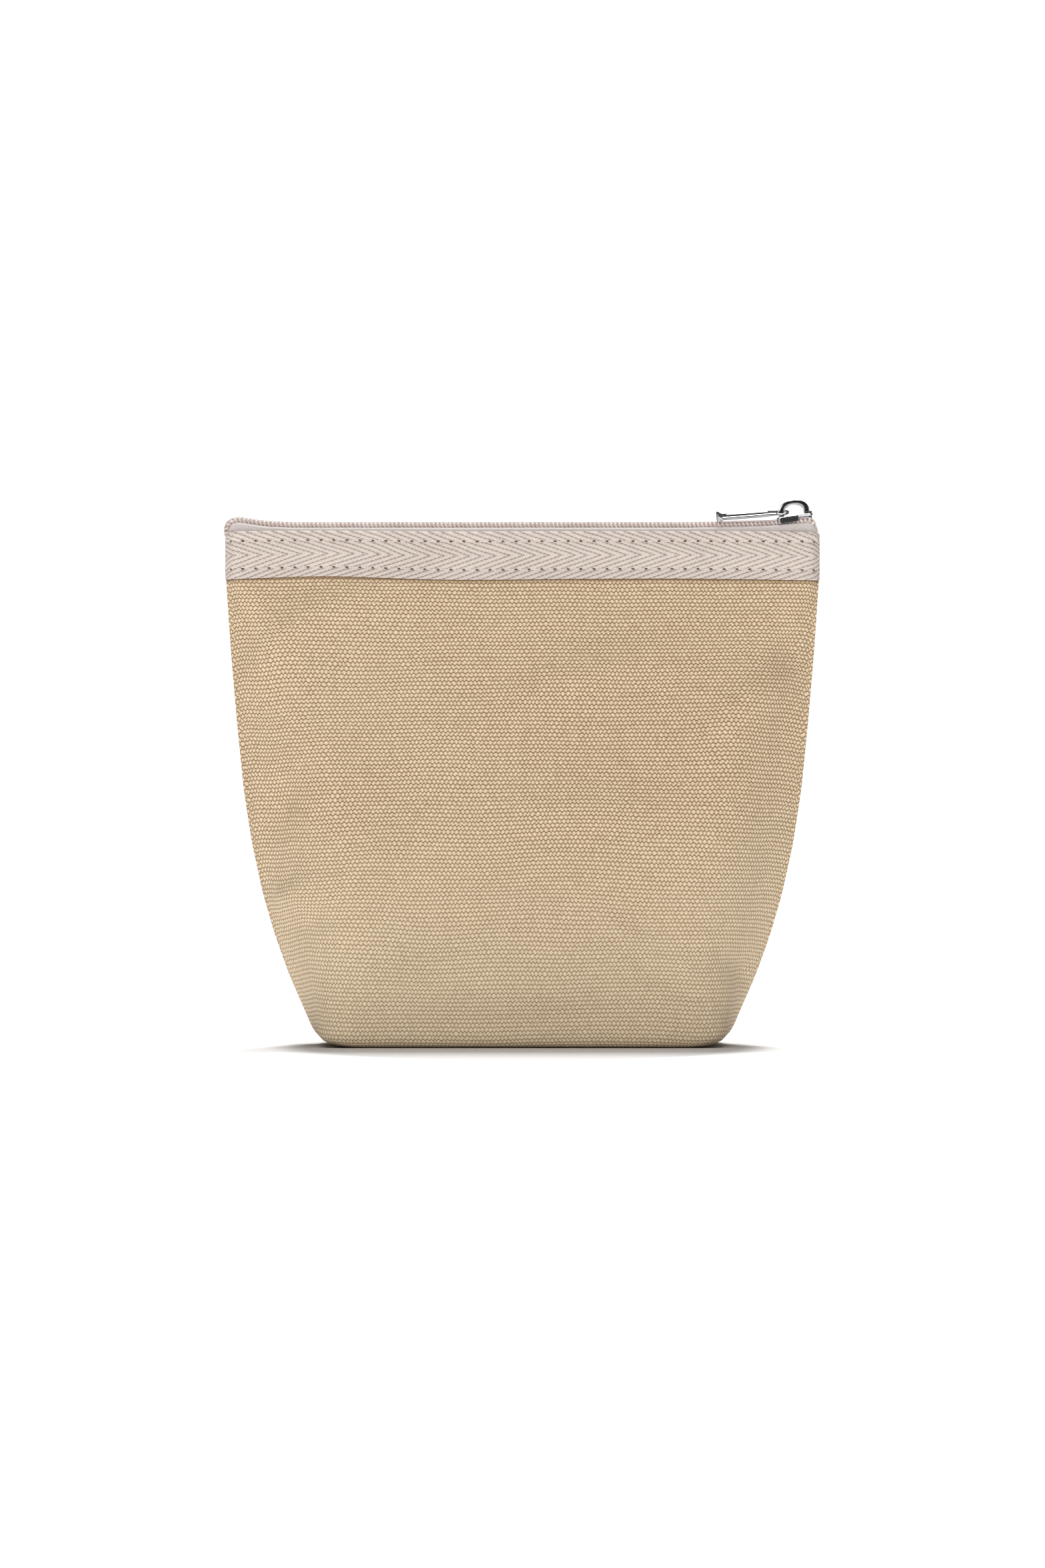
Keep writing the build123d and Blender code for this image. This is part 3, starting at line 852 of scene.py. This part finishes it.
def zip_end_piece(name, way):
    """The tapes folded down and sewn together at one end of the zip. At the right they stand up behind the slider."""
    lump = 1.0 if way > 0 else 0.0
    xs = 85.0 + 7.35 * np.sin(np.linspace(0, math.pi / 2, 22))
    ys = np.sin(np.linspace(-math.pi / 2, math.pi / 2, 25))
    x, y = np.meshgrid(xs, ys, indexing="ij")
    if lump:
        top = 164.75 - 5.0 * (1 - np.sqrt(np.maximum(1 - (np.maximum(x - 87.6, 0) / 4.85) ** 2, 0)))
        top -= 1.4 * ease((88.0 - x) / 2.0)
    else:
        top = TAPE_TOP(x * way) - 0.35
    half = np.minimum(2.0 + 0.9 * lump, (93.2 - x) * 1.5)
    pleat = 0.16 * np.sin(x * 2.1 + y * 1.5) * lump
    crown = (0.5 + 1.1 * lump) * (1 - np.sqrt(np.maximum(1 - y ** 2, 0)))
    rows = []
    for k in range(13):
        t = k / 12
        bulge = 1 + lump * (0.10 * math.sin(math.pi * min(3 * t, 1)) - 0.35 * t)
        rows.append(np.stack([x, y * half * bulge + pleat * np.abs(y), top - crown * (1 - t) - 6.0 * t], -1))
    block = np.stack(rows, 2)
    sizes = block.shape[:3]
    number = np.arange(np.prod(sizes)).reshape(sizes)
    faces = [turned(grid_faces(grid), facing) for grid, facing in (
        (number[:, :, 0], -1), (number[:, :, -1], 1), (number[:, 0], 1),
        (number[:, -1], -1), (number[0], -1), (number[-1], 1),
    )]
    used, faces = np.unique(np.concatenate(faces), return_inverse=True)
    faces = turned(faces.reshape(-1, 4), way)
    points = block.reshape(-1, 3)[used] * np.array([way, 1, 1.0])
    cloth = np.stack([points[:, 0] + points[:, 1], points[:, 2], points[:, 1]], -1)
    obj = make_piece(name, points, faces, tape_look, cloth)
    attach(obj, "root")
    return obj


# -------- the slider's bail and its pull tab

SLIDER_PITCH = math.radians(8.0)
SLIDER_X, SLIDER_Z = 85.25, 163.75  # middle of the slider's channel


def on_slider(along, across, up):
    """Places given in the slider's own frame, which is pitched nose up."""
    c, s = math.cos(SLIDER_PITCH), math.sin(SLIDER_PITCH)
    return np.stack([SLIDER_X + along * c - up * s, across, SLIDER_Z + along * s + up * c], -1)


def rounded_section(half_wide, half_tall, corner):
    """Points round a rectangle with rounded corners."""
    arc = np.radians(np.linspace(0, 90, 4))
    c, s = np.cos(arc) * corner, np.sin(arc) * corner
    quarter = np.stack([half_wide - corner + c, half_tall - corner + s], -1)
    return np.concatenate([quarter, quarter[::-1] * [-1, 1], -quarter, quarter[::-1] * [1, -1]])


def loops(rows, closed):
    """Quads between section loops, each a ring of points, with flat ends unless the row of loops closes."""
    count, around = rows.shape[:2]
    index = np.arange(count * around).reshape(count, around)
    index = np.concatenate([index, index[:, :1]], 1)
    if closed:
        index = np.concatenate([index, index[:1]])
    faces = [tuple(face) for face in grid_faces(index).tolist()]
    if not closed:
        faces.append(tuple(range(around)))
        faces.append(tuple((count - 1) * around + k for k in range(around))[::-1])
    return rows.reshape(-1, 3), faces


def bail_piece():
    """A flat-topped arch, thick in its legs and thin at its crown, with chamfered edges."""
    centre, shape, outside, inside = 2.5, 2 / 2.35, 4.87, 3.03
    crown = []
    for t in np.linspace(0, math.pi, 61):
        c, s = math.cos(t), math.sin(t)
        level, rise = np.sign(c) * abs(c) ** shape, s ** shape
        outer = np.array([outside * level, centre + 3.98 * rise])
        crown.append((outer, np.array([inside * level, centre + 2.45 * rise])))
    right = [(np.array([outside, up]), np.array([inside, up])) for up in (1.45, 1.9, 2.3)]
    left = [(outer * [-1, 1], inner * [-1, 1]) for outer, inner in right[::-1]]
    rows = []
    for outer, inner in right + crown + left:
        middle, reach = (outer + inner) / 2, (outer - inner) / 2
        half = np.hypot(*reach)
        section = rounded_section(half, 0.85, 0.24)
        spots = middle + section[:, :1] / half * reach
        rows.append(on_slider(spots[:, 0], section[:, 1], spots[:, 1]))
    points, faces = loops(np.stack(rows), closed=False)
    obj = make_piece("bail", points, faces, slider_look, crease=40)
    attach(obj, "slider")
    return obj


TAB_REACH = 20.4  # from the middle of its eye to its lip
TAB_GROOVE = 0.72  # from one grip groove to the next
TAB_EYE = np.array([81.05, 0, 166.3])
TAB_SLOPE, TAB_ROLL = math.radians(4.3), math.radians(18.0)


def on_tab(along, across, up):
    """Places on the pull tab: along it from its eye, across it, and out from its upper face."""
    way = np.array([-math.cos(TAB_SLOPE), 0, -math.sin(TAB_SLOPE)])
    upright = np.array([-math.sin(TAB_SLOPE), 0, math.cos(TAB_SLOPE)])
    normal = upright * math.cos(TAB_ROLL) + np.array([0, -1.0, 0]) * math.sin(TAB_ROLL)
    side = np.cross(normal, way)
    along, across, up = (np.asarray(value, float)[..., None] for value in (along, across, up))
    return TAB_EYE + along * way + across * side + up * normal


def tab_section(half, thick, sunk):
    """Points round the bar: rounded edges and a shallow recess on both faces."""
    edge = 0.42
    arc = np.radians([0, 15, 30, 45, 60, 75, 90])
    rim = [(half - edge + edge * math.cos(a), thick - edge + edge * math.sin(a)) for a in arc]
    floor_half = half - 0.78
    face = [(half - 0.62, thick), (floor_half, thick - sunk)]
    face += [(floor_half * t, thick - sunk) for t in (0.6, 0.2, -0.2, -0.6)]
    face += [(-floor_half, thick - sunk), (-half + 0.62, thick)]
    top = rim + face + [(-x, y) for x, y in rim[::-1]]
    return np.array(top + [(-x, -y) for x, y in top])


def tab_piece():
    """A flat bar with an eye round the bail's leg, a sunk grip with fine cross grooves and a flared lip."""
    along = np.unique(np.round(np.concatenate([np.arange(1.7, TAB_REACH, 0.12), [TAB_REACH - 0.04, TAB_REACH]]), 3))
    half = np.interp(along, [0, 3.0, 6.5, 9, TAB_REACH], [1.7, 1.75, 2.2, 2.3, 2.3])
    flare = ease((along - (TAB_REACH - 2.2)) / 2.1)
    tip = 1 - 0.12 * ease((along - (TAB_REACH - 0.25)) / 0.25)
    thick = (np.interp(along, [1.7, 4.0], [0.38, 0.48]) + 0.90 * flare ** 1.3) * tip
    half = (half + 0.22 * flare) * tip
    sunk = 0.13 * ease((along - 4.2) / 0.4) * (1 - ease((along - 17.0) / 0.4))
    groove = 0.5 + 0.5 * np.cos((along - 10.6) * TURN / TAB_GROOVE)
    sunk = sunk + 0.05 * groove * ease((along - 7.6) / 0.3) * (1 - ease((along - 14.2) / 0.3))
    rows = []
    for a, h, t, d in zip(along, half, thick, sunk):
        section = tab_section(h, t, d)
        rows.append(on_tab(np.full(len(section), a), section[:, 0], section[:, 1]))
    bar = loops(np.stack(rows), closed=False)
    section = rounded_section(0.40, 0.30, 0.20)
    radius = 1.93 + section[:, 0]
    ring = []
    for angle in np.linspace(0, TURN, 48, endpoint=False):
        ring.append(on_tab(radius * math.cos(angle), radius * math.sin(angle), section[:, 1]))
    eye = loops(np.stack(ring), closed=True)
    points, faces = join([bar, eye])
    obj = make_piece("tab", points, faces, tab_look, crease=32)
    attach(obj, "pull_tab")
    return obj


# -------- bound seams inside

def binding_strip(name, line, outward, across, thick, width=6.0):
    """A tape folded over the raw edge of a seam allowance. line runs along the seam, outward points to the seam."""
    profile = [(0.0, 0.5), (0.15, 0.9), (1.0, 1.0), (width * 0.35, 1.02), (width * 0.7, 1.0), (width - 0.9, 1.0),
               (width - 0.25, 0.75), (width, 0.3)]
    profile = profile + [(p, -h) for p, h in profile[::-1]]
    run = np.r_[0, np.cumsum(np.linalg.norm(np.diff(line, axis=0), axis=1))]
    rows = []
    for p, h in profile:
        pucker = 0.06 * np.cos(run * TURN / 3.2 + p) if 1 < p < width - 1 else 0 * run
        dent = -0.22 * bell((p - width * 0.35) / 0.8)
        rows.append(line - outward * p + across * (h * thick / 2 + (pucker + dent) * np.sign(h))[:, None])
    points, faces = loops(np.stack(rows, 1), closed=False)
    obj = make_piece(name, points, faces, binding_look)
    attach(obj, "root")
    return obj


def side_binding_piece(name, way):
    z = np.linspace(9, 147, 93)
    x = (half_width(z) - 3.6) * way
    line = np.stack([x, np.zeros_like(z), z], -1)
    slope = np.gradient(line, axis=0)
    slope /= np.linalg.norm(slope, axis=1, keepdims=True)
    outward = np.stack([slope[:, 2], np.zeros_like(z), -slope[:, 0]], -1) * way
    return binding_strip(name, line, outward, np.array([0, 1.0, 0]), thick=2.5)


def corner_binding_piece(name, way):
    y = np.linspace(-20.5, 20.5, 35)
    line = np.stack([np.full_like(y, 57.4 * way), y, np.full_like(y, 1.4)], -1)
    return binding_strip(name, line, np.array([0, 0, -1.0]), np.array([1.0, 0, 0]), thick=3.3, width=5.8)


# -------- build everything

made = {}
for side_name, side in SIDES.items():
    canvas = canvas_half(f"{side_name}_canvas", side)
    replaced = [f"{side_name}_panel"] + (["base_panel"] if side > 0 else [])
    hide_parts(*replaced)
    band = band_piece(f"{side_name}_herringbone_band", side)
    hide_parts(f"{side_name}_band")
    for row_name, row in zip(("lower", "upper"), STITCH_ROWS):
        row_piece = stitches(f"{side_name}_{row_name}_thread", side, row)
        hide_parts(f"{side_name}_{row_name}_stitches")
    tape = tape_piece(f"{side_name}_tape", side)
    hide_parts(f"{side_name}_zip_tape")
    coil = coil_piece(f"{side_name}_coil", side)
    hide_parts(f"{side_name}_zip_coil")
    threads = chain_threads(f"{side_name}_coil_threads", side)
    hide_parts(f"{side_name}_coil_cord")
    made[side_name] = (canvas, band, tape)

for way_name, way in (("left", -1), ("right", 1)):
    end = zip_end_piece(f"{way_name}_tape_end", way)
    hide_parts(f"{way_name}_zip_end")
    strip = side_binding_piece(f"{way_name}_seam_binding", way)
    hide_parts(f"{way_name}_side_binding")
    corner = corner_binding_piece(f"{way_name}_base_binding", way)
    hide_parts(f"{way_name}_corner_binding")

for slot in frame["nodes"]["slider_body"].material_slots:
    slot.material = slider_look
for piece, node, slot_name in ((bail_piece(), "slider_bail", "slider_metal"), (tab_piece(), "pull_tab", "tab_metal")):
    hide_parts(node)

# -------- each side's canvas, band and tape, looked up and left as they are

for side_name in SIDES:
    canvas, band, tape = made[side_name]

# -------- floor, light and camera

def floor():
    """A pale disc that glows away from the pouch: painted light that keeps the floor white outside an oval round the
    pouch, where the pouch's shadow stays darker. Gives the collection that keeps the front lights off it.
    """
    mesh = bpy.data.meshes.new("floor")
    ring = [(4 * math.cos(k * math.pi / 32), 4 * math.sin(k * math.pi / 32), 0.0) for k in range(64)]
    mesh.from_pydata(ring, [], [list(range(64))])
    s = Shader("floor", 0.7)
    x, y, _ = split_place(s.tree, s.place(1.0))
    away = (x * x * 3.1 + y * y).use("SQRT")
    s.surface.inputs["Emission Color"].default_value = (1.0, 1.0, 1.0, 1.0)
    glow = away.smooth(0.118, 0.146, 0.0, 0.55) + away.smooth(0.2, 1.2, 0.0, 0.3)
    s.tree.links.new(glow.socket, s.surface.inputs["Emission Strength"])
    mesh.materials.append(s.finish((0.74, 0.74, 0.74)))
    obj = bpy.data.objects.new("floor", mesh)
    bpy.context.scene.collection.objects.link(obj)
    obj.location.z = -0.05 * MM
    spared = bpy.data.collections.new("floor_spared")
    spared.objects.link(obj)
    spared.collection_objects[0].light_linking.link_state = "EXCLUDE"
    return spared


def world():
    """Bright overhead and dim all round, dimmest at the viewer, for the metal to mirror. The camera sees it white."""
    studio = bpy.data.worlds.new("studio")
    studio.use_nodes = True
    tree = studio.node_tree
    background = tree.nodes["Background"]
    coordinates = tree.nodes.new("ShaderNodeTexCoord")
    _, depth, height = split_place(tree, coordinates.outputs["Generated"])
    light = height.smooth(0.78, 0.98, 0.08, 1.7) + depth.smooth(-0.9, 0.9, -0.04, 0.04)
    path = Field(tree, tree.nodes.new("ShaderNodeLightPath").outputs["Is Camera Ray"])
    tree.links.new(light.use("MAXIMUM", path * 1.2).socket, background.inputs["Strength"])
    background.inputs["Color"].default_value = (1.0, 1.0, 1.0, 1.0)
    bpy.context.scene.world = studio


def softbox(name, place, target, size, power, spares=None):
    """A rectangular light aimed at a target, which may spare a collection."""
    light = bpy.data.lights.new(name, "AREA")
    light.shape = "RECTANGLE"
    light.size, light.size_y = size
    light.energy = power
    obj = bpy.data.objects.new(name, light)
    if spares is not None:
        obj.light_linking.receiver_collection = spares
    obj.location = place
    direction = np.array(target) - np.array(place)
    flat = math.hypot(direction[0], direction[1])
    heading = math.atan2(direction[1], direction[0])
    obj.rotation_euler = (math.pi / 2 - math.atan2(-direction[2], flat), 0, heading - math.pi / 2)
    bpy.context.scene.collection.objects.link(obj)


def camera():
    """A long, level view of the front."""
    distance, height = 2.20, 0.0815
    view_width = 1568 / 4.8 * MM  # the photo's width in pixels over how many of them show 1 mm
    lens = bpy.data.cameras.new("camera")
    lens.sensor_fit = "HORIZONTAL"
    lens.sensor_width = 36.0
    lens.lens = lens.sensor_width * distance / view_width
    lens.clip_start, lens.clip_end = 0.05, 20
    obj = bpy.data.objects.new("camera", lens)
    obj.location = (0, -distance, height)
    obj.rotation_euler = (math.pi / 2, 0, 0)
    bpy.context.scene.collection.objects.link(obj)
    bpy.context.scene.camera = obj


spared = floor()
world()
softbox("key", (-0.48, -1.38, 0.52), (0, 0, 0.07), (0.42, 0.42), 12.4, spared)
softbox("fill", (1.15, -1.10, 0.25), (0, 0, 0.05), (0.8, 0.6), 3.3, spared)
softbox("top", (0.05, 0.50, 1.25), (0, 0, 0.0), (0.5, 0.35), 18.0)
camera()
bpy.context.scene.view_settings.view_transform = "Standard"
